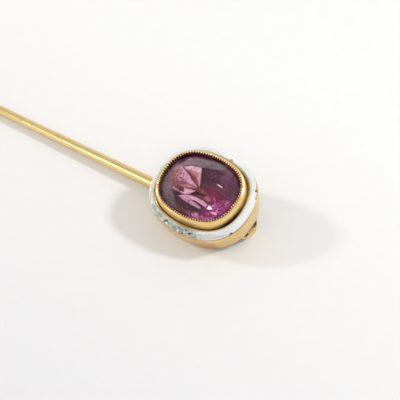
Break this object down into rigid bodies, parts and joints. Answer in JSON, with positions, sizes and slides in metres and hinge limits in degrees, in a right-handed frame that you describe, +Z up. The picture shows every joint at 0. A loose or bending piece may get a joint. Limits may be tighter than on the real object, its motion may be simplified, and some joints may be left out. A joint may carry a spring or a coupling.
{
  "type": "stick pin",
  "caption": "Stick pin with a cushion-oval faceted stone in a raised gold bezel, a white enamel border and a long tapered stem.",
  "frame": {"origin": "middle of the footprint of the pin as it lies on a table, on the table's surface", "axes": "+Z up from the table, +X along the stem from its point towards the head, and the stone leans towards -Y"},
  "size_m": [0.0616, 0.0098, 0.0071],
  "materials": {
    "gold": "polished yellow gold, softly worn",
    "enamel": "glossy opaque white enamel with age losses",
    "stone": "transparent purple stone, faceted and polished"
  },
  "bodies": {
    "root": {"gold_setting": "gold", "enamel_border": "enamel", "stone": "stone"}
  },
  "joints": []
}
